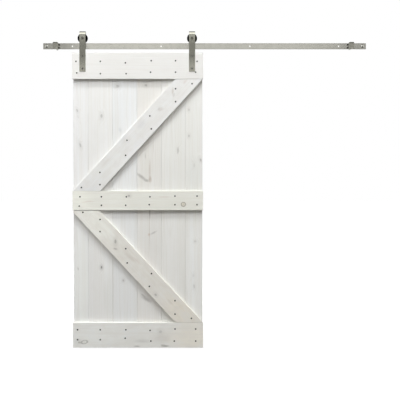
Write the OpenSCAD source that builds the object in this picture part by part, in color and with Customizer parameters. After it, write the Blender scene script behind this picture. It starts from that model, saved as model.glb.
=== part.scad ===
// Sliding barn door on a flat-bar track.
// Millimetres. +Z is up, +X is to the right seen from the front, the front
// faces -Y and the wall plane is y = 0. The origin is the middle of the row of
// wall holes, on the wall plane.

/* [Track] */
// Length of the flat bar
track_len = 2255; // [2150:5:2400]
// Height of the flat bar
track_h = 42; // [40:1:44]
// Thickness of the flat bar
track_t = 6; // [5:0.5:6]
// Distance between neighbouring wall holes
hole_pitch = 620; // [580:5:640]
// Radius of the wall holes
hole_r = 5.5; // [4:0.5:6.5]
// Shift of the bar's middle from the middle of the wall holes
track_shift = -6.5; // [-20:0.5:20]
// Length of the standoffs between wall and bar
standoff_len = 35; // [34:1:36]
// Radius of the standoffs
standoff_r = 12; // [10:0.5:14]
// Distance of the end bolts from the bar's ends
end_bolt_in = 25; // [18:1:30]

/* [End stops] */
// Length of a stop block along the bar
stop_len = 39; // [34:1:44]
// Distance of the left block from the bar's left end
stop_left_in = 69; // [60:1:90]
// Distance of the right block from the bar's right end
stop_right_in = 85; // [60:1:100]
// Length of a rubber bumper outside its block
bumper_len = 8.5; // [7:0.5:12]

/* [Door leaf] */
// Width of the rails, which is the width of the door
door_w = 914; // [880:2:950]
// Height of the door
door_h = 2066; // [2040:2:2090]
// Middle of the door along the track, with the door at rest
door_x = -474; // [-500:1:-440]
// Drop from the middle of the bar to the top of the door
door_drop = 47; // [44:0.5:56]
// Thickness of rails and braces
board_t = 20; // [18:0.5:20]
// Thickness of the planks
plank_t = 18; // [15:0.5:18]
// Overhang of the rails past the planks on each side
overhang = 5.5; // [3:0.5:8]
// Eased edge of rails and braces
ease = 1; // [0.5:0.5:3]
// Height of the top rail
top_rail_h = 182; // [176:1:190]
// Height of the middle rail
mid_rail_h = 134; // [128:1:142]
// Height of the bottom rail
bottom_rail_h = 177; // [170:1:188]
// Height of the opening between top and middle rail
upper_gap = 783; // [770:1:796]
// Width of the braces
brace_w = 141; // [134:1:148]
// Angle of the upper brace from level
upper_angle = 47.5; // [47:0.1:48]
// Angle of the lower brace from level
lower_angle = 47.2; // [46.8:0.1:48]
// Shift of the lower brace from the door's middle
lower_shift = -5.5; // [-8:0.5:2]
// Open joint between the upper brace and the top rail
upper_joint = 1.5; // [0.5:0.5:4]
// Open joint between the lower brace and the middle rail
lower_joint = 3.5; // [0.5:0.5:5]
// Open joint at the lower end of both braces
foot_joint = 1.5; // [0.5:0.5:3]
// Cover width of a full plank
plank_w = 171; // [168:1:173]
// Width of the first plank, ripped to fit
first_plank_w = 103; // [95:1:110]
// Bevel of the V joints between planks
vee = 2; // [1:0.5:3]

/* [Hangers] */
// Width of a strap
strap_w = 43; // [38:1:44]
// Thickness of a strap
strap_t = 6; // [5:0.5:6]
// Clear gap between the two legs of a strap
strap_gap = 28; // [27:0.5:28]
// Height of the bend's centre above the middle of the bar
bend_z = 83.5; // [82:0.5:92]
// Lower end of the front leg
strap_end_z = -180; // [-200:1:-172]
// Lower end of the back leg
back_end_z = 33; // [28:1:38]
// Distance of the left strap from the door's left edge
left_in = 73; // [62:1:78]
// Distance of the right strap from the door's right edge
right_in = 77; // [70:1:84]
// Height of the upper door bolts
bolt_hi_z = -69; // [-75:1:-66]
// Height of the lower door bolts
bolt_lo_z = -157; // [-164:1:-150]

/* [Wheels] */
// Outer radius of a wheel
wheel_r = 35; // [34.75:0.25:36.5]
// Radius at the bottom of the groove
groove_r = 33.2; // [33:0.1:33.6]
// Width of a wheel
wheel_w = 22; // [20:0.5:22]
// Number of balls in a bearing
ball_n = 8; // [6:1:8]

/* [Hidden] */
$fn = 64;
eps = 0.02;

// Bar
track_x0 = track_shift - track_len / 2;
track_x1 = track_shift + track_len / 2;
track_yb = -standoff_len;
track_yf = track_yb - track_t;
track_ym = track_yb - track_t / 2;
track_top = track_h / 2;
hole_xs = [-1.5 * hole_pitch, -0.5 * hole_pitch, 0.5 * hole_pitch, 1.5 * hole_pitch];
end_xs = [track_x0 + end_bolt_in, track_x1 - end_bolt_in];

// Strap legs, centred on the bar's thickness
leg_in_f = track_ym - strap_gap / 2;
leg_out_f = leg_in_f - strap_t;
leg_in_b = track_ym + strap_gap / 2;
leg_out_b = leg_in_b + strap_t;

// Door leaf
door_top = -door_drop;
door_bot = door_top - door_h;
board_yf = leg_in_f;
board_yb = board_yf + board_t;
plank_yf = board_yb;
plank_yb = plank_yf + plank_t;
panel_w = door_w - 2 * overhang;
panel_x0 = door_x - panel_w / 2;
panel_x1 = door_x + panel_w / 2;
lower_gap = door_h - top_rail_h - mid_rail_h - bottom_rail_h - upper_gap;
top_z0 = door_top - top_rail_h;
mid_z1 = top_z0 - upper_gap;
mid_z0 = mid_z1 - mid_rail_h;
bot_z1 = mid_z0 - lower_gap;

// Left and right edge of each plank
plank_edges = [panel_x0, panel_x0 + first_plank_w, panel_x0 + first_plank_w + plank_w,
               panel_x0 + first_plank_w + 2 * plank_w, panel_x0 + first_plank_w + 3 * plank_w,
               panel_x0 + first_plank_w + 4 * plank_w, panel_x1];
tongue_t = 6;
tongue_l = 7;

// Hangers and wheels
left_x = door_x - door_w / 2 + left_in;
right_x = door_x + door_w / 2 - right_in;
axle_z = track_top + 0.3 + groove_r;
axle_r = 4.98;
bolt_r = 4;
bolt_zs = [bolt_hi_z, bolt_lo_z];
bearing_w = 8;
ring_in_r = 7.2;
ring_out_r = 10.8;
bearing_r = 13;
pitch_r = 9;
ball_r = 2.38;

// Nails, placed by hand: distance from the door's middle, and from the upper
// edge of a rail or from the lower edge of the opening that a brace crosses
top_nails = [[-430, 60], [-260, 60], [-85, 70], [95, 55], [265, 55], [415, 60],
             [-425, 140], [-260, 145], [-80, 145], [90, 135], [265, 135], [405, 135]];
mid_nails = [[-405, 40], [-255, 40], [-80, 40], [85, 40], [260, 35], [415, 35],
             [-410, 105], [-255, 100], [-85, 100], [80, 95], [260, 95], [415, 95]];
bottom_nails = [[-425, 50], [-265, 50], [-85, 50], [85, 55], [260, 45], [405, 45],
                [-425, 120], [-265, 120], [-90, 110], [90, 130], [255, 130], [405, 130]];
upper_brace_nail = [[-265, 130], [-75, 355], [85, 525], [265, 715], [-265, 45],
                    [-85, 250], [95, 435], [265, 625], [-395, 25], [380, 750]];
lower_brace_nail = [[-265, 725], [-85, 520], [95, 345], [260, 155], [-265, 640],
                    [-75, 420], [80, 255], [260, 60], [-385, 775], [375, 30]];
nail_head_r = 5.5;
nail_r = 1.6;

// Colours
nickel = [0.69, 0.69, 0.66];
dark_nickel = [0.46, 0.46, 0.44];
bright = [0.8, 0.8, 0.78];
black = [0.05, 0.05, 0.05];
rubber_black = [0.08, 0.08, 0.08];
wood_a = [0.93, 0.93, 0.91];
wood_b = [0.89, 0.89, 0.86];
nail_grey = [0.25, 0.25, 0.24];

// ---- helpers ----

// round bar along Y from y0 to y1
module ycyl(r, y0, y1, n = 64) {
  translate([0, y1, 0]) rotate([90, 0, 0]) cylinder(r = r, h = y1 - y0, $fn = n);
}

// outline drawn in X and Z, from y0 to y1
module yext(y0, y1) {
  translate([0, y1, 0]) rotate([90, 0, 0]) linear_extrude(y1 - y0) children();
}

// outline drawn in Y and Z, from x0 to x1
module xext(x0, x1) {
  translate([x0, 0, 0]) rotate([90, 0, 90]) linear_extrude(x1 - x0) children();
}

// turned shape about an axis along Y; t runs towards the front
module yturn() {
  rotate([90, 0, 0]) rotate_extrude() children();
}

// hexagonal prism along Y
module yhex(across, y0, y1) {
  translate([0, y1, 0]) rotate([90, 0, 0]) cylinder(r = across / 2 / cos(30), h = y1 - y0, $fn = 6);
}

// hex bolt along Y: head in front of y_face, end at y_end
module hex_bolt(r, across, head, y_face, y_end) {
  intersection() {
    yhex(across, y_face - head, y_face);
    translate([0, y_face, 0]) yturn() polygon([[0, 0], [across, 0], [across, head - across * 0.29],
      [across / 2 - 0.4, head], [0, head]]);
  }
  ycyl(r, y_face, y_end - 1);
  translate([0, y_end, 0]) yturn() polygon([[0, 0], [r - 1, 0], [r, 1], [0, 1]]);
}

// hex nut along Y
module hex_nut(r, across, y0, y1) {
  difference() {
    yhex(across, y0, y1);
    ycyl(r, y0 - 1, y1 + 1);
  }
}

// flat washer along Y
module washer(r0, r1, y0, y1) {
  difference() {
    ycyl(r1, y0, y1);
    ycyl(r0, y0 - 1, y1 + 1);
  }
}

// ---- track ----

module track_bar() color(nickel) {
  c = 0.8;
  difference() {
    xext(track_x0, track_x1)
      polygon([[track_yf + c, -track_top], [track_yb - c, -track_top], [track_yb, -track_top + c],
               [track_yb, track_top - c], [track_yb - c, track_top], [track_yf + c, track_top],
               [track_yf, track_top - c], [track_yf, -track_top + c]]);
    for (x = hole_xs) translate([x, 0, 0]) ycyl(hole_r, track_yf - 1, track_yb + 1);
    for (x = end_xs) translate([x, 0, 0]) ycyl(bolt_r + 0.2, track_yf - 1, track_yb + 1);
  }
}

module track_standoffs() color(nickel)
  for (x = hole_xs) translate([x, 0, 0])
    yturn() polygon([[hole_r, 0], [standoff_r - 1, 0], [standoff_r, 1], [standoff_r, standoff_len - 1],
                     [standoff_r - 1, standoff_len], [hole_r, standoff_len]]);

module track_end_bolts() color(dark_nickel)
  for (x = end_xs) translate([x, 0, 0]) difference() {
    union() {
      // domed head
      translate([0, track_yf, 0]) intersection() {
        ycyl(11, -5.5, 0);
        translate([0, 9.1, 0]) sphere(r = 14.6, $fn = 96);
      }
      ycyl(bolt_r, track_yf, track_yb + 8);
    }
    yhex(6, track_yf - 7, track_yf - 2);
  }

module track_end_nuts() color(nickel)
  for (x = end_xs) translate([x, 0, 0]) hex_nut(bolt_r + eps, 13, track_yb, track_yb + 6.5);

// A stop seen with its inner end towards +X; x = 0 is its outer end
tab_x0 = 22;
tab_x1 = 37;
tab_t = 3.6;
cheek_y = leg_out_f;
bump_y = cheek_y + 4.8;
bump_zs = [-10.5, 10.5];

module stop_block() {
  g = 0.15;
  top = track_top + 7;
  difference() {
    union() {
      intersection() {
        xext(0, stop_len)
          polygon([[cheek_y, -track_top + 2], [cheek_y + 2, -track_top], [track_yf - g, -track_top],
                   [track_yf - g, track_top + g], [track_yb + g, track_top + g], [track_yb + g, track_top - 9],
                   [track_yb + 6, track_top - 9], [track_yb + 6, top - 2], [track_yb + 4, top],
                   [cheek_y + 2, top], [cheek_y, top - 2]]);
        yext(cheek_y - 1, track_yb + 7)
          polygon([[0, -track_top - 1], [stop_len, -track_top - 1], [stop_len, track_top - 1],
                   [stop_len - 8, top], [3, top], [0, top - 3]]);
      }
      // tab under the bar for the clamp screw
      translate([tab_x0, cheek_y + 2, -track_top - tab_t])
        cube([tab_x1 - tab_x0, track_yb - cheek_y - 2, tab_t - g]);
      translate([tab_x0, cheek_y + 2, -track_top - 1])
        cube([tab_x1 - tab_x0, track_yf - g - cheek_y - 2, 2]);
    }
    // clamp screw
    translate([(tab_x0 + tab_x1) / 2, track_ym, -track_top - tab_t - 1]) cylinder(r = 3 + eps, h = tab_t + 2);
    // bumper sockets
    for (z = bump_zs) translate([stop_len - 8, bump_y, z]) rotate([0, 90, 0]) cylinder(r = 2.2, h = 9);
  }
}

module stop_bumpers() {
  for (z = bump_zs) translate([stop_len, bump_y, z]) rotate([0, 90, 0])
    rotate_extrude() polygon([[0, -7.5], [2.2 - eps, -7.5], [2.2 - eps, 0], [3.4, 0], [3.4, bumper_len - 1.8],
                              [2.9, bumper_len - 0.5], [1.9, bumper_len], [0, bumper_len]]);
}

// clamp screw with a socket; its head stands out below the tab by the height given
module stop_screw(head) {
  translate([(tab_x0 + tab_x1) / 2, track_ym, -track_top - tab_t]) difference() {
    union() {
      translate([0, 0, -head]) cylinder(r = 3, h = head + tab_t - 0.1);
      if (head > 0) rotate_extrude() polygon([[0, -head], [3.6, -head], [5, -head + 1.4], [5, 0], [0, 0]]);
    }
    translate([0, 0, -head - 1]) cylinder(r = 4 / 2 / cos(30), h = 3, $fn = 6);
  }
}

module at_left_stop() translate([track_x0 + stop_left_in, 0, 0]) children();
module at_right_stop() translate([track_x1 - stop_right_in, 0, 0]) mirror([1, 0, 0]) children();

module left_stop_block() color(nickel) at_left_stop() stop_block();
module right_stop_block() color(nickel) at_right_stop() stop_block();
module left_stop_bumpers() color(rubber_black) at_left_stop() stop_bumpers();
module right_stop_bumpers() color(rubber_black) at_right_stop() stop_bumpers();
module left_stop_screw() color(bright) at_left_stop() stop_screw(3.5);
module right_stop_screw() color(bright) at_right_stop() stop_screw(0);

// ---- door leaf ----

// holes for the bolts of both hangers
module hanger_holes(r) {
  for (x = [left_x, right_x], z = bolt_zs) translate([x, 0, z]) ycyl(r, leg_out_f - 1, plank_yb + 1);
}

// plank k: groove on its left, tongue on its right, V bevels on the front
module plank(k) {
  g = 0.15;
  x0 = plank_edges[k] + (k == 0 ? 0 : g);
  x1 = plank_edges[k + 1] - (k == 5 ? 0 : g);
  ym = (plank_yf + plank_yb) / 2;
  t = tongue_t / 2;
  right_side = k == 5 ? [] :
    [[x1, ym - t], [x1 + tongue_l, ym - t], [x1 + tongue_l, ym + t], [x1, ym + t]];
  left_side = k == 0 ? [] :
    [[x0, ym + t + 0.2], [x0 + tongue_l + 0.6, ym + t + 0.2], [x0 + tongue_l + 0.6, ym - t - 0.2], [x0, ym - t - 0.2]];
  difference() {
    translate([0, 0, door_bot + 1]) linear_extrude(door_h - 2)
      polygon(concat([[x0, plank_yf + vee], [x0 + vee, plank_yf], [x1 - vee, plank_yf], [x1, plank_yf + vee]],
                     right_side, [[x1, plank_yb], [x0, plank_yb]], left_side));
    if (k == 0) for (z = bolt_zs) translate([left_x, 0, z]) ycyl(bolt_r + 0.5, plank_yf - 1, plank_yb + 1);
    if (k == 5) for (z = bolt_zs) translate([right_x, 0, z]) ycyl(bolt_r + 0.5, plank_yf - 1, plank_yb + 1);
  }
}

module plank_1() color(wood_a) plank(0);
module plank_2() color(wood_b) plank(1);
module plank_3() color(wood_a) plank(2);
module plank_4() color(wood_b) plank(3);
module plank_5() color(wood_a) plank(4);
module plank_6() color(wood_b) plank(5);

// section of a board from lower edge a to upper edge b, eased on the front
module board_yz(a, b) {
  polygon([[board_yb, a], [board_yb, b], [board_yf + ease, b], [board_yf, b - ease],
           [board_yf, a + ease], [board_yf + ease, a]]);
}

// cross rail over the whole width of the door, all four front edges eased
module rail(z0, z1) {
  x0 = door_x - door_w / 2;
  x1 = door_x + door_w / 2;
  intersection() {
    xext(x0 - 1, x1 + 1) board_yz(z0, z1);
    translate([0, 0, z0 - 1]) linear_extrude(z1 - z0 + 2)
      polygon([[x0, board_yb], [x0, board_yf + ease], [x0 + ease, board_yf],
               [x1 - ease, board_yf], [x1, board_yf + ease], [x1, board_yb]]);
  }
}

module top_rail() color(wood_a) difference() {
  rail(top_z0, door_top);
  hanger_holes(bolt_r + 0.5);
}
module mid_rail() color(wood_b) rail(mid_z0, mid_z1);
module bottom_rail() color(wood_b) rail(door_bot, bot_z1);

// diagonal board rising to the right at angle a across an opening of height g whose
// lower edge is z0; its middle is dx from the door's middle, its corners are cut flush
// with the planks, and it stops j0 and j1 short of the opening's lower and upper edge
module brace(z0, g, a, dx, j0, j1) {
  l = g / sin(a) + 2 * brace_w;
  intersection() {
    translate([door_x + dx, 0, z0 + g / 2]) rotate([0, -a, 0])
      xext(-l / 2, l / 2) board_yz(-brace_w / 2, brace_w / 2);
    translate([panel_x0, board_yf - 1, z0 + j0]) cube([panel_w, board_t + 1, g - j0 - j1]);
  }
}

module upper_brace() color(wood_a) brace(mid_z1, upper_gap, upper_angle, 0, foot_joint / 2, upper_joint);
module lower_brace() color(wood_b)
  translate([0, 0, mid_z0 + bot_z1]) mirror([0, 0, 1])
    brace(bot_z1, lower_gap, lower_angle, lower_shift, lower_joint, foot_joint);

// nail with a low round head on the board's face
module nail(x, z) {
  translate([x, board_yf, z]) yturn()
    polygon([[0, -board_t - 12], [nail_r, -board_t - 9], [nail_r, 0], [nail_head_r, 0],
             [nail_head_r - 0.4, 0.7], [nail_head_r - 2, 1.2], [0, 1.4]]);
}

// nails of a rail whose upper edge is z
module rail_nails(places, z) {
  for (p = places) nail(door_x + p[0], z - p[1]);
}

// nails of a brace across an opening whose lower edge is z
module brace_nails(places, z) {
  for (p = places) nail(door_x + p[0], z + p[1]);
}

module top_rail_nails() color(nail_grey) rail_nails(top_nails, door_top);
module mid_rail_nails() color(nail_grey) rail_nails(mid_nails, mid_z1);
module bottom_rail_nails() color(nail_grey) rail_nails(bottom_nails, bot_z1);
module upper_brace_nails() color(nail_grey) brace_nails(upper_brace_nail, mid_z1);
module lower_brace_nails() color(nail_grey) brace_nails(lower_brace_nail, bot_z1);

// ---- hangers ----

// strap bent over the wheel: long leg in front, short leg behind
module hanger_strap() {
  ro = strap_gap / 2 + strap_t;
  ri = strap_gap / 2;
  c = 2.5;
  difference() {
    union() {
      yext(leg_out_f, leg_in_f)
        polygon([[-strap_w / 2, bend_z], [-strap_w / 2, strap_end_z + c], [-strap_w / 2 + c, strap_end_z],
                 [strap_w / 2 - c, strap_end_z], [strap_w / 2, strap_end_z + c], [strap_w / 2, bend_z]]);
      yext(leg_in_b, leg_out_b)
        polygon([[-strap_w / 2, bend_z], [-strap_w / 2, back_end_z + c], [-strap_w / 2 + c, back_end_z],
                 [strap_w / 2 - c, back_end_z], [strap_w / 2, back_end_z + c], [strap_w / 2, bend_z]]);
      translate([-strap_w / 2, track_ym, bend_z]) rotate([0, 90, 0]) difference() {
        cylinder(r = ro, h = strap_w);
        translate([0, 0, -1]) cylinder(r = ri, h = strap_w + 2);
        translate([0, -ro - 1, -1]) cube([ro + 1, 2 * ro + 2, strap_w + 2]);
      }
    }
    translate([0, 0, axle_z]) ycyl(axle_r + 0.12, leg_out_f - 1, leg_out_b + 1);
    for (z = bolt_zs) translate([0, 0, z]) ycyl(bolt_r + 0.25, leg_out_f - 1, leg_in_f + 1);
  }
}

module hanger_bolts() for (z = bolt_zs) translate([0, 0, z]) hex_bolt(bolt_r, 13, 5.3, leg_out_f, plank_yb + 9.5);
module hanger_washers() for (z = bolt_zs) translate([0, 0, z]) washer(bolt_r + 0.2, 9, plank_yb, plank_yb + 1.6);
module hanger_nuts() for (z = bolt_zs) translate([0, 0, z]) hex_nut(bolt_r + eps, 13, plank_yb + 1.6, plank_yb + 8.1);
module axle_bolt() translate([0, 0, axle_z]) hex_bolt(axle_r, 17, 6.4, leg_out_f, leg_out_b + 11);
module axle_washer() translate([0, 0, axle_z]) washer(axle_r + 0.2, 10, leg_out_b, leg_out_b + 1.6);
module axle_nut() translate([0, 0, axle_z]) hex_nut(axle_r + eps, 17, leg_out_b + 1.6, leg_out_b + 9.6);
module axle_spacers() translate([0, 0, axle_z]) {
  washer(axle_r + eps, 7, leg_in_f, track_ym - bearing_w / 2);
  washer(axle_r + eps, 7, track_ym + bearing_w / 2, leg_in_b);
}

// ---- wheel and bearing ----

module at_axle() translate([0, track_ym, axle_z]) children();

module bearing_inner_ring() at_axle() yturn() difference() {
  translate([axle_r + eps, -bearing_w / 2]) square([ring_in_r - axle_r - eps, bearing_w]);
  translate([pitch_r, 0]) circle(r = ball_r + 0.3);
}

module bearing_outer_ring() at_axle() yturn() difference() {
  translate([ring_out_r, -bearing_w / 2]) square([bearing_r - ring_out_r, bearing_w]);
  translate([pitch_r, 0]) circle(r = ball_r + eps);
}

module bearing_balls() at_axle()
  for (i = [0 : ball_n - 1]) rotate([0, i * 360 / ball_n, 0]) translate([pitch_r, 0, 0]) sphere(r = ball_r);

module bearing_shields() at_axle() {
  for (s = [-1, 1]) translate([0, s * 3.4, 0]) washer(ring_in_r + 0.35, ring_out_r - eps, -0.3, 0.3);
}

// grooved wheel; the bearing sits against a shoulder at the front
module wheel() at_axle() yturn() {
  h = wheel_w / 2;
  b = bearing_w / 2;
  gb = track_t / 2 + 0.6;
  gt = gb + 1.9;
  polygon([[bearing_r + eps, b], [11, b], [11, h - 1.5], [17, h - 1.5], [18.5, h - 5], [29, h - 5],
           [31, h], [wheel_r - 1.2, h], [wheel_r, h - 1.2], [wheel_r, gt],
           [groove_r, gb], [groove_r, -gb], [wheel_r, -gt],
           [wheel_r, -h + 1.2], [wheel_r - 1.2, -h], [31, -h], [29, -h + 5], [18.5, -h + 5],
           [17, -h + 1.5], [bearing_r + eps, -h + 1.5]]);
}

module at_left() translate([left_x, 0, 0]) children();
module at_right() translate([right_x, 0, 0]) children();

module left_hanger_strap() color(dark_nickel) at_left() hanger_strap();
module left_hanger_bolts() color(dark_nickel) at_left() hanger_bolts();
module left_hanger_washers() color(nickel) at_left() hanger_washers();
module left_hanger_nuts() color(nickel) at_left() hanger_nuts();
module left_axle_bolt() color(dark_nickel) at_left() axle_bolt();
module left_axle_washer() color(nickel) at_left() axle_washer();
module left_axle_nut() color(nickel) at_left() axle_nut();
module left_axle_spacers() color(bright) at_left() axle_spacers();
module left_bearing_inner_ring() color(bright) at_left() bearing_inner_ring();
module right_hanger_strap() color(dark_nickel) at_right() hanger_strap();
module right_hanger_bolts() color(dark_nickel) at_right() hanger_bolts();
module right_hanger_washers() color(nickel) at_right() hanger_washers();
module right_hanger_nuts() color(nickel) at_right() hanger_nuts();
module right_axle_bolt() color(dark_nickel) at_right() axle_bolt();
module right_axle_washer() color(nickel) at_right() axle_washer();
module right_axle_nut() color(nickel) at_right() axle_nut();
module right_axle_spacers() color(bright) at_right() axle_spacers();
module right_bearing_inner_ring() color(bright) at_right() bearing_inner_ring();
module left_wheel() color(black) at_left() wheel();
module left_bearing_outer_ring() color(bright) at_left() bearing_outer_ring();
module left_bearing_balls() color(bright) at_left() bearing_balls();
module left_bearing_shields() color(nickel) at_left() bearing_shields();
module right_wheel() color(black) at_right() wheel();
module right_bearing_outer_ring() color(bright) at_right() bearing_outer_ring();
module right_bearing_balls() color(bright) at_right() bearing_balls();
module right_bearing_shields() color(nickel) at_right() bearing_shields();

track_bar();
track_standoffs();
track_end_bolts();
track_end_nuts();
left_stop_block();
left_stop_bumpers();
left_stop_screw();
right_stop_block();
right_stop_bumpers();
right_stop_screw();
plank_1();
plank_2();
plank_3();
plank_4();
plank_5();
plank_6();
top_rail();
mid_rail();
bottom_rail();
upper_brace();
lower_brace();
top_rail_nails();
mid_rail_nails();
bottom_rail_nails();
upper_brace_nails();
lower_brace_nails();
left_hanger_strap();
left_hanger_bolts();
left_hanger_washers();
left_hanger_nuts();
left_axle_bolt();
left_axle_washer();
left_axle_nut();
left_axle_spacers();
left_bearing_inner_ring();
right_hanger_strap();
right_hanger_bolts();
right_hanger_washers();
right_hanger_nuts();
right_axle_bolt();
right_axle_washer();
right_axle_nut();
right_axle_spacers();
right_bearing_inner_ring();
left_wheel();
left_bearing_outer_ring();
left_bearing_balls();
left_bearing_shields();
right_wheel();
right_bearing_outer_ring();
right_bearing_balls();
right_bearing_shields();
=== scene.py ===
"""Looks of a hanging barn door: whitewashed knotty pine, brushed steel track and hangers."""

import math

import bpy
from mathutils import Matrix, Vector

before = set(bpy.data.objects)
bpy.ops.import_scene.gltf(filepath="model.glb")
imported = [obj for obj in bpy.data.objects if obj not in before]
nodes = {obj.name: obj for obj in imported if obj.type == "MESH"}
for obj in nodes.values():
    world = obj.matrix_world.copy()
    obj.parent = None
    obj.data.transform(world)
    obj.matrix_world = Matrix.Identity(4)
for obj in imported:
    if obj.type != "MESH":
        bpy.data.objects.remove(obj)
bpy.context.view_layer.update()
scene = bpy.context.scene


# ---------------------------------------------------------------- shader helper

class Graph:
    """A Principled material built from named helper calls."""

    def __init__(self, name):
        self.mat = bpy.data.materials.new(name)
        self.mat.use_nodes = True
        self.tree = self.mat.node_tree
        self.tree.nodes.clear()
        out = self.tree.nodes.new("ShaderNodeOutputMaterial")
        self.bsdf = self.tree.nodes.new("ShaderNodeBsdfPrincipled")
        self.tree.links.new(self.bsdf.outputs["BSDF"], out.inputs["Surface"])
        coord = self.tree.nodes.new("ShaderNodeTexCoord")
        self.place = coord.outputs["Object"]
        self.normal = coord.outputs["Normal"]

    def put(self, socket, value):
        if value is None:
            return
        if isinstance(value, bpy.types.NodeSocket):
            self.tree.links.new(value, socket)
        else:
            socket.default_value = value

    def shader(self, **values):
        for key, value in values.items():
            self.put(self.bsdf.inputs[key.replace("_", " ")], value)
        return self.mat

    def math(self, op, a, b=None, c=None, clamp=False):
        n = self.tree.nodes.new("ShaderNodeMath")
        n.operation = op
        n.use_clamp = clamp
        for i, x in enumerate((a, b, c)):
            self.put(n.inputs[i], x)
        return n.outputs[0]

    def vec(self, op, a, b=None, scale=None):
        n = self.tree.nodes.new("ShaderNodeVectorMath")
        n.operation = op
        self.put(n.inputs[0], a)
        self.put(n.inputs[1], b)
        if scale is not None:
            self.put(n.inputs["Scale"], scale)
        return n.outputs["Value"] if op in ("DOT_PRODUCT", "LENGTH", "DISTANCE") else n.outputs["Vector"]

    def join(self, x, y, z):
        n = self.tree.nodes.new("ShaderNodeCombineXYZ")
        for i, value in enumerate((x, y, z)):
            self.put(n.inputs[i], value)
        return n.outputs[0]

    def split(self, v):
        n = self.tree.nodes.new("ShaderNodeSeparateXYZ")
        self.put(n.inputs[0], v)
        return n.outputs[0], n.outputs[1], n.outputs[2]

    def noise(self, v, scale=1.0, detail=2.0, rough=0.5, twist=0.0):
        n = self.tree.nodes.new("ShaderNodeTexNoise")
        self.put(n.inputs["Vector"], v)
        n.inputs["Scale"].default_value = scale
        n.inputs["Detail"].default_value = detail
        n.inputs["Roughness"].default_value = rough
        n.inputs["Distortion"].default_value = twist
        return n.outputs[0]

    def cells(self, v, scale=1.0, feature="F1"):
        n = self.tree.nodes.new("ShaderNodeTexVoronoi")
        n.feature = feature
        self.put(n.inputs["Vector"], v)
        n.inputs["Scale"].default_value = scale
        return n.outputs["Distance"]

    def span(self, x, lo, hi, a=0.0, b=1.0, smooth=True):
        n = self.tree.nodes.new("ShaderNodeMapRange")
        n.interpolation_type = "SMOOTHSTEP" if smooth else "LINEAR"
        n.clamp = True
        self.put(n.inputs["Value"], x)
        n.inputs["From Min"].default_value = lo
        n.inputs["From Max"].default_value = hi
        n.inputs["To Min"].default_value = a
        n.inputs["To Max"].default_value = b
        return n.outputs["Result"]

    def mix(self, fac, a, b, kind="MIX"):
        n = self.tree.nodes.new("ShaderNodeMix")
        n.data_type = "RGBA"
        n.blend_type = kind
        n.clamp_factor = True
        self.put(n.inputs[0], fac)
        for i, value in ((6, a), (7, b)):
            if isinstance(value, tuple) and len(value) == 3:
                value = (*value, 1.0)
            self.put(n.inputs[i], value)
        return n.outputs[2]

    def ellipse(self, v, centre, size, turn):
        n = self.tree.nodes.new("ShaderNodeMapping")
        n.vector_type = "TEXTURE"
        self.put(n.inputs["Vector"], v)
        n.inputs["Location"].default_value = (*centre, 0.0)
        n.inputs["Rotation"].default_value = (0.0, 0.0, turn)
        n.inputs["Scale"].default_value = (*size, 4.0)
        return n.outputs["Vector"]

    def rounded(self, radius):
        n = self.tree.nodes.new("ShaderNodeBevel")
        n.samples = 6
        n.inputs["Radius"].default_value = radius
        return n.outputs["Normal"]

    def bump(self, height, depth, strength=1.0, under=None):
        n = self.tree.nodes.new("ShaderNodeBump")
        n.inputs["Strength"].default_value = strength
        n.inputs["Distance"].default_value = depth
        self.put(n.inputs["Height"], height)
        self.put(n.inputs["Normal"], under)
        return n.outputs["Normal"]


def lin(r, g, b):
    """An sRGB colour of 0 to 255 as linear light."""
    return tuple((c / 255 / 12.92 if c <= 10 else ((c / 255 + 0.055) / 1.055) ** 2.4) for c in (r, g, b))


# ---------------------------------------------------------------- wood

GREY = (0.30, 0.285, 0.26)
BROWN = (0.42, 0.33, 0.25)
DARK = (0.17, 0.16, 0.145)
RUST = (0.52, 0.35, 0.26)


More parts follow.
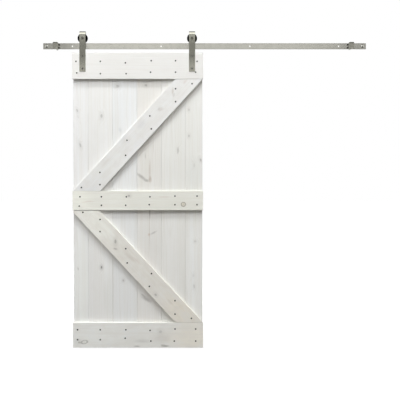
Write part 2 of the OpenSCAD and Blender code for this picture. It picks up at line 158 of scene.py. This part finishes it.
def wood(name, centre, angle, wash, seed, marks=(), pith=(0.01, 0.07), ring=0.0075, grain=1.0, tones=(), mottle=0.0, edge=1.0, groove=1.0):
    """Whitewashed pine. centre is the board's middle in x and z, angle its grain direction from +x in degrees.
    marks are (x, z, half width, half length, turn, strength, colour, kind): knots, streaks and stains, in mm in the row
    frame;
    turn is counter-clockwise seen from the front.
    tones are (x, z, half width, half length, colour factor) broad soft changes of the colour; those low on the planks
    are partly painted light."""
    g = Graph(name)
    a = math.radians(angle)
    along, across = (math.cos(a), 0.0, math.sin(a)), (-math.sin(a), 0.0, math.cos(a))
    here = g.vec("SUBTRACT", g.place, (centre[0] / 1000, -0.04, centre[1] / 1000))
    v = g.vec("DOT_PRODUCT", here, along)
    u = g.vec("DOT_PRODUCT", here, across)
    w = g.vec("DOT_PRODUCT", here, (0.0, 1.0, 0.0))
    uvw = g.join(u, v, w)
    shifted = g.vec("ADD", uvw, (seed * 0.37, seed * 1.91, seed * 0.53))

    def stretched(su, sv, **kw):
        return g.noise(g.vec("MULTIPLY", shifted, (su, sv, su)), **kw)

    slow = g.math("SUBTRACT", stretched(2.6, 0.8, detail=1.5), 0.5)
    sway = g.math("SUBTRACT", stretched(16.0, 3.4, detail=2.0), 0.5)
    ragged = stretched(140.0, 90.0, detail=2.0)
    fibre = stretched(520.0, 9.0, detail=3.0, rough=0.6)
    bands = stretched(60.0, 0.9, detail=2.0)
    cloud = stretched(8.0, 2.4, detail=4.0, rough=0.55)
    brush = stretched(260.0, 3.0, detail=2.0)

    # knots bend the rings round them
    push, spots = None, []
    for x, z, half_u, half_v, turn, strength, colour, kind in marks:
        dx, dz = x - centre[0], z - centre[1]
        cu = (-math.sin(a) * dx + math.cos(a) * dz) / 1000
        cv = (math.cos(a) * dx + math.sin(a) * dz) / 1000
        local = g.ellipse(uvw, (cu, cv), (half_u / 1000, half_v / 1000), math.radians(-turn))
        lx, ly, lz = g.split(local)
        r = g.vec("LENGTH", g.join(lx, ly, 0.0))
        spots.append((r, strength, colour, kind))
        if kind in ("knot", "ring"):
            near = g.math("MULTIPLY", g.span(r, 0.0, 4.5, 1.0, 0.0), 0.016)
            push = near if push is None else g.math("ADD", push, near)

    du = g.math("SUBTRACT", u, pith[0])
    dw = g.math("SUBTRACT", w, pith[1])
    radius = g.math("SQRT", g.math("ADD", g.math("MULTIPLY", du, du), g.math("MULTIPLY", dw, dw)))
    radius = g.math("MULTIPLY_ADD", slow, 0.085, radius)
    if push is not None:
        radius = g.math("ADD", radius, push)
    phase = g.math("MULTIPLY_ADD", sway, 0.9, g.math("DIVIDE", radius, ring))
    wave = g.math("MULTIPLY_ADD", g.math("SINE", g.math("MULTIPLY", phase, 2 * math.pi)), 0.5, 0.5)
    late = g.math("POWER", wave, 3.0)
    amount = g.math("MULTIPLY", late, g.span(bands, 0.30, 0.72, 0.25, 1.0))

    colour = g.mix(g.math("MULTIPLY", amount, 0.16 * grain), wash, tuple(c * f for c, f in zip(wash, (0.66, 0.60, 0.52))))
    for x, z, half_u, half_v, factor in tones:
        dx, dz = x - centre[0], z - centre[1]
        cu = (-math.sin(a) * dx + math.cos(a) * dz) / 1000
        cv = (math.cos(a) * dx + math.sin(a) * dz) / 1000
        lx, ly, lz = g.split(g.ellipse(uvw, (cu, cv), (half_u / 1000, half_v / 1000), 0.0))
        r = g.vec("LENGTH", g.join(lx, ly, 0.0))
        r = g.math("MULTIPLY_ADD", g.math("SUBTRACT", cloud, 0.5), 0.9, r)
        colour = g.mix(g.span(r, 0.20, 1.1, 1.0, 0.0), colour, factor, "MULTIPLY")
    colour = g.mix(g.span(bands, 0.35, 0.70, 0.0, 0.30 * grain), colour, tuple(c * f for c, f in zip(wash, (0.93, 0.91, 0.87))))
    colour = g.mix(g.span(cloud, 0.52, 0.75, 0.0, 0.25), colour, tuple(c * f for c, f in zip(wash, (0.90, 0.89, 0.87))))
    if mottle:
        patch = stretched(20.0, 12.0, detail=3.0, rough=0.55, twist=0.6)
        colour = g.mix(g.span(patch, 0.34, 0.66, mottle, 0.0), colour, tuple(c * f for c, f in zip(wash, (0.88, 0.86, 0.84))))
        colour = g.mix(g.span(patch, 0.52, 0.74, 0.0, mottle), colour, tuple(c * f for c, f in zip(wash, (0.94, 0.96, 1.00))))
    colour = g.mix(g.span(fibre, 0.50, 0.78, 0.0, 0.20), colour, tuple(c * f for c, f in zip(wash, (0.72, 0.68, 0.62))))
    colour = g.mix(g.span(brush, 0.52, 0.74, 0.0, 0.22), colour, (0.93, 0.93, 0.92))

    hollow = None
    for r, strength, tone, kind in spots:
        rr = g.math("MULTIPLY_ADD", g.math("SUBTRACT", ragged, 0.5), 0.55, r)
        if kind == "knot":
            core = g.span(rr, 0.45, 1.15, 1.0, 0.0)
            rings = g.math("MULTIPLY_ADD", g.math("SINE", g.math("MULTIPLY", rr, 17.0)), 0.14, 0.86)
            halo = g.span(r, 0.8, 3.0, 0.22, 0.0)
            fac = g.math("MULTIPLY", g.math("MAXIMUM", g.math("MULTIPLY", core, rings), halo), strength)
        elif kind == "ring":
            rim = g.math("MULTIPLY", g.span(rr, 1.25, 0.95), g.span(rr, 0.40, 0.85))
            heart = g.span(rr, 0.30, 0.05, 0.0, 0.55)
            fac = g.math("MULTIPLY", g.math("MAXIMUM", rim, heart), strength)
        else:
            fac = g.math("MULTIPLY", g.span(rr, 0.10, 1.25, 1.0, 0.0), strength)
        colour = g.mix(fac, colour, tone)
        if kind in ("knot", "ring"):
            hollow = fac if hollow is None else g.math("MAXIMUM", hollow, fac)

    side = g.math("ABSOLUTE", g.vec("DOT_PRODUCT", g.normal, (0.0, 1.0, 0.0)))
    if groove < 1.0:
        # painted shade: the slanted faces of the joints are darkened, standing in for the shade in the grooves
        groove_shade_mask = g.math("MULTIPLY", g.span(side, 0.40, 0.60, 0.0, 1.0), g.span(side, 0.78, 0.95, 1.0, 0.0))
        colour = g.vec("SCALE", colour, scale=g.math("MULTIPLY_ADD", groove_shade_mask, groove - 1.0, 1.0))
    if edge < 1.0:
        # painted shade: the side faces of the boards are darkened, dimming the bright bands on their edges and the
        # light they throw onto the planks
        colour = g.vec("SCALE", colour, scale=g.span(side, 0.30, 0.60, edge, 1.0))

    height = g.math("MULTIPLY_ADD", amount, -0.55, g.math("MULTIPLY", fibre, 0.45))
    if hollow is not None:
        height = g.math("MULTIPLY_ADD", hollow, -0.5, height)
    height = g.math("MULTIPLY_ADD", cloud, 0.4, height)
    rough = g.math("MULTIPLY_ADD", fibre, 0.22, 0.50)
    return g.shader(Base_Color=colour, Roughness=rough, Normal=g.bump(height, 0.0005, 0.8), Specular_IOR_Level=0.22)


# ---------------------------------------------------------------- steel, plastic, rubber

def steel(name, axis, dark, light, rough=(0.30, 0.46), seed=0.0, shade=None, wear=0.12, depth=0.00001, blotch=0.3, edge=0.0006):
    """Brushed steel. axis is the brushing direction as a vector of stretches. shade(graph, colour) may change the colour."""
    g = Graph(name)
    place = g.vec("ADD", g.place, (seed, seed * 0.7, seed * 1.3))
    lines = g.noise(g.vec("MULTIPLY", place, axis), detail=3.0, rough=0.65)
    fine = g.noise(g.vec("MULTIPLY", place, tuple(x * 3.1 for x in axis)), detail=2.0)
    blot = g.noise(place, scale=22.0, detail=4.0, rough=0.6)
    grit = g.noise(place, scale=420.0, detail=2.0)
    fac = g.math("MULTIPLY_ADD", g.span(lines, 0.28, 0.74), 1.0 - blotch, g.math("MULTIPLY", g.span(blot, 0.30, 0.72), blotch))
    colour = g.mix(fac, dark, light)
    colour = g.mix(g.span(grit, 0.62, 0.80, 0.0, wear), colour, tuple(c * 0.45 for c in dark))
    if shade is not None:
        colour = shade(g, colour)
    r = g.math("MULTIPLY_ADD", g.span(fine, 0.3, 0.7), rough[1] - rough[0], rough[0])
    r = g.math("MULTIPLY_ADD", g.span(blot, 0.45, 0.8), 0.04, r, clamp=True)
    height = g.math("MULTIPLY_ADD", fine, 0.4, lines)
    return g.shader(Base_Color=colour, Roughness=r, Metallic=1.0, Normal=g.bump(height, depth, 0.6, g.rounded(edge)))


def moulded(name, base, rough, grain_scale, depth, gloss, wear=None):
    """Moulded plastic or rubber with a fine skin texture and scuffs."""
    g = Graph(name)
    skin = g.noise(g.place, scale=grain_scale, detail=3.0, rough=0.6)
    pits = g.cells(g.place, scale=grain_scale * 0.6)
    blot = g.noise(g.place, scale=60.0, detail=4.0)
    colour = g.mix(g.span(blot, 0.35, 0.75), base, tuple(c * 1.7 + 0.002 for c in base))
    colour = g.mix(g.span(skin, 0.60, 0.80, 0.0, 0.35), colour, tuple(c * 2.4 + 0.006 for c in base))
    if wear is not None:
        colour = wear(g, colour, blot)
    r = g.math("MULTIPLY_ADD", g.span(blot, 0.3, 0.8), 0.16, rough)
    r = g.math("MULTIPLY_ADD", skin, 0.10, r, clamp=True)
    height = g.math("MULTIPLY_ADD", pits, 0.5, skin)
    return g.shader(Base_Color=colour, Roughness=r, Specular_IOR_Level=gloss, Normal=g.bump(height, depth, 0.7))


def nail_steel():
    """Dark cut-nail heads with a trace of the wash on them."""
    g = Graph("nail_steel")
    blot = g.noise(g.place, scale=310.0, detail=3.0, rough=0.6)
    big = g.noise(g.place, scale=9.0, detail=1.0)
    colour = g.mix(g.span(blot, 0.35, 0.70), (0.010, 0.010, 0.010), (0.030, 0.029, 0.028))
    colour = g.mix(g.math("MULTIPLY", g.span(blot, 0.60, 0.76), g.span(big, 0.48, 0.62, 0.0, 0.3)), colour, (0.20, 0.19, 0.18))
    r = g.span(blot, 0.3, 0.7, 0.60, 0.85)
    return g.shader(Base_Color=colour, Roughness=r, Specular_IOR_Level=0.10, Normal=g.bump(blot, 0.0002, 0.8))


def track_shade(g, colour):
    """The bar is darker past the stops and a little darker to the right, and painted darker along its upper and lower
    edge, a painted shade.
    """
    x, y, z = g.split(g.place)
    haze = g.math("SUBTRACT", g.noise(g.place, scale=6.0, detail=3.0), 0.5)
    x = g.math("MULTIPLY_ADD", haze, 0.06, x)
    f = g.math("MULTIPLY", g.span(x, -1.03, -0.79, 0.615, 1.0), g.span(x, -0.32, -0.15, 1.0, 0.92))
    f = g.math("MULTIPLY", f, g.span(x, 0.60, 0.88, 1.0, 0.87))
    f = g.math("MULTIPLY", f, g.span(x, 0.88, 0.99, 1.0, 0.80))
    # painted shade along the upper and lower edge of the bar
    rim = g.math("MULTIPLY", g.span(z, 0.009, 0.017, 1.0, 0.93), g.span(z, -0.009, -0.017, 1.0, 0.92))
    return g.vec("SCALE", colour, scale=g.math("MULTIPLY", f, rim))


def stop_shade(g, colour):
    """The stops are painted darker on top, a painted shade, and lighter on the cut ends, a painted reflection; they are
    also lighter round the clamp screw and below the bar.
    """
    x, y, z = g.split(g.place)
    for at in (-1.0395, 1.0215):
        near = g.vec("LENGTH", g.vec("MULTIPLY", g.vec("SUBTRACT", g.join(x, 0.0, z), (at, 0.0, -0.015)), (170.0, 0.0, 95.0)))
        colour = g.mix(g.span(near, 0.5, 1.2, 0.5, 0.0), colour, (0.34, 0.336, 0.30))
    nx, ny, nz = g.split(g.normal)
    # painted reflection: the cut ends are lighter
    colour = g.mix(g.span(g.math("ABSOLUTE", nx), 0.80, 0.95), colour, (0.50, 0.495, 0.45))
    colour = g.mix(g.span(z, -0.0205, -0.0215), colour, (0.50, 0.50, 0.47))
    # painted shade: darker on top
    return g.vec("SCALE", colour, scale=g.span(z, 0.016, 0.024, 1.0, 0.55))


def strap_shade(g, colour):
    """The straps are painted lighter toward the bend and the lower end: a painted highlight at the bend and a painted
    reflection toward the lower end.
    """
    x, y, z = g.split(g.place)
    haze = g.noise(g.place, scale=16.0, detail=3.0)
    z = g.math("MULTIPLY_ADD", g.math("SUBTRACT", haze, 0.5), 0.02, z)
    # painted highlight toward the bend, painted reflection toward the lower end
    top = g.span(z, 0.015, 0.085, 0.0, 0.62)
    low = g.span(z, -0.05, -0.18, 0.0, 0.80)
    return g.vec("SCALE", colour, scale=g.math("ADD", g.math("ADD", top, low), 1.0))


def button_shade(g, colour):
    """The domed end bolts are painted lighter on their flanks and darker round the socket and at the rim above and
    below: painted highlights and painted shade that move their reflections to the flanks.
    """
    x, y, z = g.split(g.place)
    off = g.math("ABSOLUTE", g.math("SUBTRACT", g.math("ABSOLUTE", g.math("ADD", x, 0.0065)), 1.1025))
    # painted highlights on the flanks, painted shade round the socket and at the rim
    f = g.math("MULTIPLY", g.span(off, 0.003, 0.0075, 0.75, 1.35), g.span(g.math("ABSOLUTE", z), 0.004, 0.0085, 1.0, 0.45))
    return g.vec("SCALE", colour, scale=f)


def groove_wear(g, colour, blot):
    """The wheel's running groove is rubbed grey by the bar."""
    x, y, z = g.split(g.place)
    middle = g.span(g.math("ABSOLUTE", g.math("ADD", y, 0.038)), 0.0055, 0.0035)
    return g.mix(g.math("MULTIPLY", middle, g.span(blot, 0.30, 0.65, 0.15, 0.6)), colour, (0.10, 0.10, 0.10))


# ---------------------------------------------------------------- finishes of every node

def dress(node, material):
    o = nodes[node]
    o.data.materials.clear()
    o.data.materials.append(material)


def soften(node, width, segments=2, angle=30.0):
    """Rounds a node's hard edges by width, in metres."""
    o = nodes[node]
    weld = o.modifiers.new("weld", "WELD")
    weld.merge_threshold = 0.000005
    bevel = o.modifiers.new("edge", "BEVEL")
    bevel.width = width
    bevel.segments = segments
    bevel.limit_method = "ANGLE"
    bevel.angle_limit = math.radians(angle)
    bevel.use_clamp_overlap = True
    bevel.harden_normals = False


WASH = lin(243, 242, 239)

# the broad tones low on most planks lighten their lower part: partly painted light that evens out the lamps' fall-off
# down the door, partly a change of tint
planks = {
    "plank_1": dict(x=(-925.5, -820.5), wash=lin(244, 244, 243), seed=1.3, pith=(0.035, 0.060), marks=[
        (-899, -448, 7, 14, 20, 0.50, GREY, "knot"), (-893, -492, 6, 16, 10, 0.18, GREY, "knot"),
        (-878, -690, 7, 20, 15, 0.52, GREY, "knot"), (-896, -1558, 5, 16, 8, 0.40, GREY, "streak")],
        tones=[(-873, -1700, 90, 520, (1.055, 1.07, 1.045))]),
    "plank_2": dict(x=(-820.5, -649.5), wash=lin(243, 243, 241), seed=2.7, pith=(-0.030, 0.075), marks=[
        (-729, -486, 9, 18, 0, 0.55, GREY, "knot"), (-731, -1549, 7, 12, 0, 0.90, DARK, "knot")],
        tones=[(-735, -1700, 130, 500, (1.02, 1.02, 1.02)), (-680, -1760, 60, 170, (0.965, 0.97, 0.965))]),
    "plank_3": dict(x=(-649.5, -478.5), wash=lin(240, 241, 240), seed=4.1, pith=(0.020, 0.090), marks=[
        (-615, -277, 14, 13, 0, 0.48, GREY, "knot"), (-578, -1641, 8, 10, 0, 0.55, GREY, "knot"),
        (-598, -584, 14, 22, 20, 0.20, (0.40, 0.42, 0.47), "stain")],
        tones=[(-564, -420, 130, 380, (1.01, 1.015, 1.025))]),
    "plank_4": dict(x=(-478.5, -307.5), wash=lin(238, 237, 233), seed=5.9, pith=(-0.020, 0.050), marks=[
        (-417, -271, 12, 11, 0, 0.55, GREY, "knot"),
        (-450, -912, 14, 50, 52, 0.54, GREY, "streak"), (-412, -938, 13, 24, 75, 0.47, GREY, "streak"),
        (-388, -930, 12, 26, 0, 0.50, BROWN, "streak"), (-391, -868, 8, 90, -1, 0.35, BROWN, "streak"),
        (-421, -767, 5, 24, 0, 0.30, GREY, "streak"), (-366, -700, 4, 60, 0, 0.20, BROWN, "streak"),
        (-391, -1165, 5, 48, 0, 0.55, GREY, "streak"), (-393, -1290, 3, 150, 0, 0.34, BROWN, "streak"),
        (-397, -1318, 9, 13, 0, 0.42, RUST, "streak"), (-366, -1306, 8, 32, -62, 0.40, GREY, "streak"),
        (-416, -1772, 17, 50, 59, 0.44, GREY, "streak"), (-440, -1746, 8, 24, 50, 0.42, GREY, "streak")],
        tones=[(-393, -330, 130, 160, (0.98, 0.975, 0.975)), (-420, -820, 90, 170, (0.975, 0.97, 0.955)),
               (-390, -1450, 80, 140, (0.965, 0.96, 0.955)), (-393, -1700, 130, 420, (1.025, 1.025, 1.035))]),
    "plank_5": dict(x=(-307.5, -136.5), wash=lin(239, 239, 235), seed=7.4, pith=(0.030, 0.080), marks=[
        (-193, -731, 5, 26, -4, 0.60, GREY, "streak"), (-196, -716, 9, 14, 0, 0.22, GREY, "knot")],
        tones=[(-222, -1500, 130, 420, (1.03, 1.025, 1.03))]),
    "plank_6": dict(x=(-136.5, -22.5), wash=lin(240, 240, 236), seed=9.2, pith=(-0.030, 0.065), marks=[
        (-116, -443, 7, 12, 0, 0.42, GREY, "knot"), (-116, -625, 8, 12, 0, 0.48, GREY, "knot"),
        (-34, -795, 7, 15, 20, 0.60, GREY, "knot"), (-80, -832, 8, 18, 0, 0.22, GREY, "knot"),
        (-73, -1366, 11, 9, 0, 0.30, GREY, "knot"), (-85, -1606, 9, 15, 0, 0.22, GREY, "knot"),
        (-80, -1682, 8, 18, 8, 0.32, GREY, "knot")],
        tones=[(-80, -900, 110, 160, (0.965, 0.975, 0.975)), (-80, -1600, 110, 480, (1.09, 1.10, 1.125))]),
}
for node, p in planks.items():
    middle = (sum(p["x"]) / 2, -1078)
    dress(node, wood("wood_" + node, middle, 90.0, p["wash"], p["seed"], p["marks"], p["pith"], tones=p["tones"], groove=0.92))
    if node not in ("plank_1", "plank_6"):
        soften(node, 0.0006)

UPPER, LOWER = 47.5, -47.2
boards = {
    "top_rail": dict(at=(-474, -138), angle=0.0, wash=lin(235, 234, 231), seed=11.0, grain=0.4, mottle=0.08, marks=[
        (-740, -126, 3, 200, 0, 0.10, GREY, "streak")],
        tones=[(-830, -150, 130, 260, (1.025, 1.025, 1.025))]),
    "mid_rail": dict(at=(-474, -1079), angle=0.0, wash=lin(240, 240, 232), seed=12.6, grain=0.8, mottle=0.12, marks=[
        (-537, -1045, 9, 12, 0, 0.70, GREY, "knot"), (-155, -1105, 14, 14, 0, 0.34, (0.60, 0.50, 0.32), "stain"),
        (-155, -1105, 16, 17, 0, 0.56, (0.22, 0.175, 0.115), "ring"), (-820, -1084, 5, 50, 0, 0.24, RUST, "streak"),
        (-850, -1092, 4, 30, 0, 0.18, RUST, "streak"), (-290, -1053, 6, 55, 0, 0.22, RUST, "streak")],
        tones=[(-880, -1079, 130, 170, (1.14, 1.145, 1.135)), (-660, -1079, 120, 180, (1.055, 1.055, 1.06))]),
    "bottom_rail": dict(at=(-474, -2024), angle=0.0, wash=lin(245, 245, 241), seed=14.8, grain=0.6, mottle=0.30, marks=[
        (-316, -2000, 13, 15, 0, 0.40, GREY, "knot"), (-310, -2050, 42, 75, 0, 0.17, BROWN, "stain"),
        (-850, -2073, 13, 24, 10, 0.50, GREY, "ring"), (-886, -2076, 9, 14, 0, 0.52, GREY, "knot"),
        (-893, -2058, 6, 10, 0, 0.30, GREY, "knot"), (-482, -2103, 6, 26, 0, 0.50, GREY, "streak"),
        (-283, -2101, 8, 34, 0, 0.65, GREY, "streak"), (-300, -2094, 9, 20, 0, 0.35, GREY, "streak"),
        (-445, -2066, 16, 60, 0, 0.16, GREY, "streak")],
        tones=[(-800, -2024, 140, 260, (1.05, 1.06, 1.065)), (-90, -2024, 160, 240, (1.05, 1.005, 0.93)), (-60, -2024, 70, 120, (1.03, 1.035, 1.035))]),
    "upper_brace": dict(at=(-474, -620), angle=UPPER, wash=lin(239, 239, 237), seed=16.1, grain=0.6, mottle=0.38, marks=[
        (-229, -318, 9, 34, 42, 0.32, BROWN, "streak"), (-220, -340, 6, 20, 30, 0.25, GREY, "streak"),
        (-313, -440, 16, 26, -20, 0.24, BROWN, "stain"), (-326, -438, 9, 12, 0, 0.20, GREY, "knot"),
        (-447, -545, 30, 46, 0, 0.15, (0.44, 0.45, 0.50), "stain"), (-557, -655, 34, 50, 0, 0.13, BROWN, "stain"),
        (-143, -248, 12, 24, 0, 0.22, RUST, "stain"), (-690, -800, 26, 70, 0, 0.10, BROWN, "stain")],
        tones=[(-210, -330, 110, 190, (0.975, 0.975, 0.97)), (-690, -850, 110, 200, (1.015, 1.02, 1.01))]),
    "lower_brace": dict(at=(-479.5, -1541), angle=LOWER, wash=lin(239, 237, 230), seed=17.9, grain=0.6, mottle=0.38, marks=[
        (-631, -1366, 9, 18, -42, 0.70, GREY, "knot"), (-631, -1417, 8, 17, 30, 0.45, GREY, "streak"),
        (-522, -1480, 17, 64, 8, 0.19, BROWN, "streak"), (-480, -1500, 8, 40, 0, 0.14, RUST, "streak"),
        (-350, -1740, 9, 12, 0, 0.60, GREY, "knot"), (-250, -1790, 12, 36, 0, 0.16, BROWN, "streak")],
        tones=[(-740, -1250, 130, 200, (1.115, 1.14, 1.14)), (-178, -1850, 120, 200, (1.045, 1.01, 0.955))]),
}
# how far the side faces of each board are darkened, a painted shade
SIDE_SHADE = {"top_rail": 0.82, "mid_rail": 0.74, "bottom_rail": 0.86, "upper_brace": 0.74, "lower_brace": 0.95}
for node, p in boards.items():
    dress(node, wood("wood_" + node, p["at"], p["angle"], p["wash"], p["seed"], p["marks"], (0.15, 0.08), 0.0085, p["grain"], p["tones"], p["mottle"], SIDE_SHADE[node]))
    if node != "top_rail":
        soften(node, 0.0004)

nail = nail_steel()
for node in ("top_rail_nails", "mid_rail_nails", "bottom_rail_nails", "upper_brace_nails", "lower_brace_nails"):
    dress(node, nail)

track = steel("track_steel", (3.0, 600.0, 600.0), (0.462, 0.458, 0.422), (0.491, 0.486, 0.449), shade=track_shade, rough=(0.27, 0.29), wear=0.04, depth=0.000005)
stop = steel("stop_steel", (9.0, 420.0, 420.0), (0.200, 0.198, 0.176), (0.235, 0.232, 0.206), seed=3.0, shade=stop_shade, rough=(0.26, 0.36), wear=0.06)
strap = steel("strap_steel", (520.0, 520.0, 4.0), (0.216, 0.215, 0.188), (0.240, 0.238, 0.208), seed=5.0, shade=strap_shade, rough=(0.18, 0.21), wear=0.04, depth=0.000005)
bolt = steel("bolt_steel", (160.0, 60.0, 160.0), (0.085, 0.084, 0.074), (0.125, 0.123, 0.108), seed=6.0, rough=(0.24, 0.36))
spacer = steel("spacer_steel", (200.0, 30.0, 200.0), (0.80, 0.80, 0.77), (0.88, 0.88, 0.86), seed=8.0, rough=(0.12, 0.20), wear=0.05)
button = steel("button_steel", (200.0, 200.0, 200.0), (0.30, 0.30, 0.28), (0.36, 0.36, 0.34), seed=8.6, shade=button_shade, rough=(0.24, 0.34), wear=0.05)
screw = steel("screw_steel", (200.0, 200.0, 200.0), (0.34, 0.34, 0.31), (0.42, 0.42, 0.39), seed=8.9, rough=(0.22, 0.32), wear=0.05)
fastener = steel("fastener_steel", (260.0, 60.0, 260.0), (0.13, 0.13, 0.12), (0.24, 0.235, 0.21), seed=7.0, rough=(0.30, 0.42))
bearing = steel("bearing_steel", (300.0, 300.0, 300.0), (0.48, 0.48, 0.48), (0.66, 0.66, 0.66), seed=9.0, rough=(0.12, 0.24), wear=0.1)
wheel = moulded("wheel_plastic", (0.002, 0.002, 0.002), 0.46, 900.0, 0.00006, 0.03, groove_wear)
rubber = moulded("bumper_rubber", (0.006, 0.006, 0.006), 0.72, 1500.0, 0.00008, 0.15)

dress("track_bar", track)
dress("track_standoffs", spacer)
dress("track_end_bolts", button)
dress("track_end_nuts", fastener)
for side in ("left", "right"):
    dress(side + "_stop_block", stop)
    dress(side + "_stop_bumpers", rubber)
    dress(side + "_stop_screw", screw)
    dress(side + "_hanger_strap", strap)
    nodes[side + "_hanger_strap"].visible_shadow = False
    for part in ("hanger_bolts", "axle_bolt"):
        dress(side + "_" + part, bolt)
    for part in ("hanger_nuts", "hanger_washers", "axle_washer", "axle_nut", "axle_spacers"):
        dress(side + "_" + part, fastener)
    for part in ("bearing_inner_ring", "bearing_outer_ring", "bearing_balls", "bearing_shields"):
        dress(side + "_" + part, bearing)
    dress(side + "_wheel", wheel)


# ---------------------------------------------------------------- camera

cam_data = bpy.data.cameras.new("camera")
cam_data.sensor_width = 36.0
cam_data.lens = 90.0
cam_data.clip_end = 200.0
cam = bpy.data.objects.new("camera", cam_data)
scene.collection.objects.link(cam)
aim = Vector((-0.0385, -0.052, -1.0745))
cam.location = (-0.0385, -7.052, -0.903)
cam.rotation_mode = "QUATERNION"
cam.rotation_quaternion = (aim - cam.location).to_track_quat("-Z", "Y")
scene.camera = cam


# ---------------------------------------------------------------- light, backdrop and floor

world = bpy.data.worlds.new("studio")
scene.world = world
world.use_nodes = True
wt = world.node_tree
wt.nodes.clear()


def wn(kind):
    return wt.nodes.new(kind)


def wmath(op, a, b=None):
    n = wn("ShaderNodeMath")
    n.operation = op
    for i, x in enumerate((a, b)):
        if isinstance(x, bpy.types.NodeSocket):
            wt.links.new(x, n.inputs[i])
        elif x is not None:
            n.inputs[i].default_value = x
    return n.outputs[0]


def wspan(x, lo, hi, a=0.0, b=1.0):
    n = wn("ShaderNodeMapRange")
    n.interpolation_type = "SMOOTHSTEP"
    wt.links.new(x, n.inputs["Value"])
    n.inputs["From Min"].default_value = lo
    n.inputs["From Max"].default_value = hi
    n.inputs["To Min"].default_value = a
    n.inputs["To Max"].default_value = b
    return n.outputs["Result"]


way = wn("ShaderNodeTexCoord").outputs["Generated"]
parts = wn("ShaderNodeSeparateXYZ")
wt.links.new(way, parts.inputs[0])
toward = wmath("MULTIPLY", parts.outputs[1], -1.0)
up = parts.outputs[2]
# what bright metal mirrors: an even front wall, a strong softbox above it, a dimmer room overhead, a pale wall behind, a strip at each side
front = wspan(toward, -0.2, 0.9, 0.34, 0.745)
box = wmath("MULTIPLY", wmath("MULTIPLY", wspan(up, 0.225, 0.29), wspan(toward, 0.22, 0.36)), 2.55)
ceiling = wspan(up, 0.50, 0.80, 1.0, 0.5)
back = wmath("MULTIPLY", wspan(toward, -0.80, -0.95), 0.8)
strip = wmath("MULTIPLY", wspan(wmath("ABSOLUTE", parts.outputs[0]), 0.60, 0.80), 0.9)
mirror = wmath("ADD", wmath("ADD", wmath("MULTIPLY", front, ceiling), wmath("ADD", box, back)), strip)

path = wn("ShaderNodeLightPath")
soft = wn("ShaderNodeBackground")
soft.inputs["Color"].default_value = (1.0, 0.965, 0.925, 1.0)
soft.inputs["Strength"].default_value = 0.25
shine = wn("ShaderNodeBackground")
shine.inputs["Color"].default_value = (1.0, 0.995, 0.97, 1.0)
wt.links.new(mirror, shine.inputs["Strength"])
white = wn("ShaderNodeBackground")
white.inputs["Color"].default_value = (1.0, 1.0, 1.0, 1.0)
white.inputs["Strength"].default_value = 1.0
first = wn("ShaderNodeMixShader")
wt.links.new(path.outputs["Is Glossy Ray"], first.inputs[0])
wt.links.new(soft.outputs[0], first.inputs[1])
wt.links.new(shine.outputs[0], first.inputs[2])
second = wn("ShaderNodeMixShader")
wt.links.new(path.outputs["Is Camera Ray"], second.inputs[0])
wt.links.new(first.outputs[0], second.inputs[1])
wt.links.new(white.outputs[0], second.inputs[2])
out = wn("ShaderNodeOutputWorld")
wt.links.new(second.outputs[0], out.inputs["Surface"])


def lamp(name, place, target, size_x, size_y, watts):
    data = bpy.data.lights.new(name, "AREA")
    data.shape = "RECTANGLE"
    data.size, data.size_y = size_x, size_y
    data.energy = watts
    data.color = (0.985, 1.0, 1.01)
    o = bpy.data.objects.new(name, data)
    scene.collection.objects.link(o)
    o.location = place
    o.rotation_mode = "QUATERNION"
    o.rotation_quaternion = (Vector(target) - Vector(place)).to_track_quat("-Z", "Y")
    o.visible_glossy = False


# three wide softboxes: low in front, high in front, and higher still and closer to the wall; a fill for the back
lamp("low_box", (-0.45, -5.4, 3.55), (-0.47, -0.05, -1.0), 4.0, 0.5, 56.0)
lamp("front_box", (-0.45, -4.0, 4.75), (-0.47, -0.05, -1.0), 4.0, 0.35, 119.5)
lamp("top_box", (-0.45, -2.1, 5.7), (-0.47, -0.05, -1.0), 4.0, 0.9, 346.0)
lamp("left_box", (-4.2, -2.6, 2.6), (-0.47, -0.05, -1.2), 1.6, 1.6, 98.0)
lamp("right_box", (3.3, -2.6, 2.6), (-0.47, -0.05, -1.2), 1.6, 1.6, 48.5)
lamp("back_box", (-0.45, 4.6, 1.6), (-0.47, 0.0, -1.0), 4.0, 1.6, 130.0)

floor_mesh = bpy.data.meshes.new("floor")
s = 40.0
floor_mesh.from_pydata([(-s, -s, -2.13), (s, -s, -2.13), (s, s, -2.13), (-s, s, -2.13)], [], [(0, 1, 2, 3)])
floor = bpy.data.objects.new("floor", floor_mesh)
scene.collection.objects.link(floor)
fm = Graph("floor_paint")
tone = fm.noise(fm.place, scale=0.8, detail=3.0)
away = fm.vec("DISTANCE", fm.place, (-0.2, 0.0, -2.1))
fm.shader(Base_Color=fm.mix(tone, (0.10, 0.10, 0.10), (0.12, 0.12, 0.12)), Roughness=0.9, Specular_IOR_Level=0.0,
          Emission_Color=(1.0, 1.0, 1.0, 1.0), Emission_Strength=fm.span(away, 1.0, 4.0, 0.93, 1.0))
floor_mesh.materials.append(fm.mat)
floor.visible_diffuse = False
floor.visible_glossy = False

scene.view_settings.view_transform = "Standard"
scene.view_settings.look = "None"
scene.view_settings.exposure = 0.0
scene.view_settings.gamma = 1.0
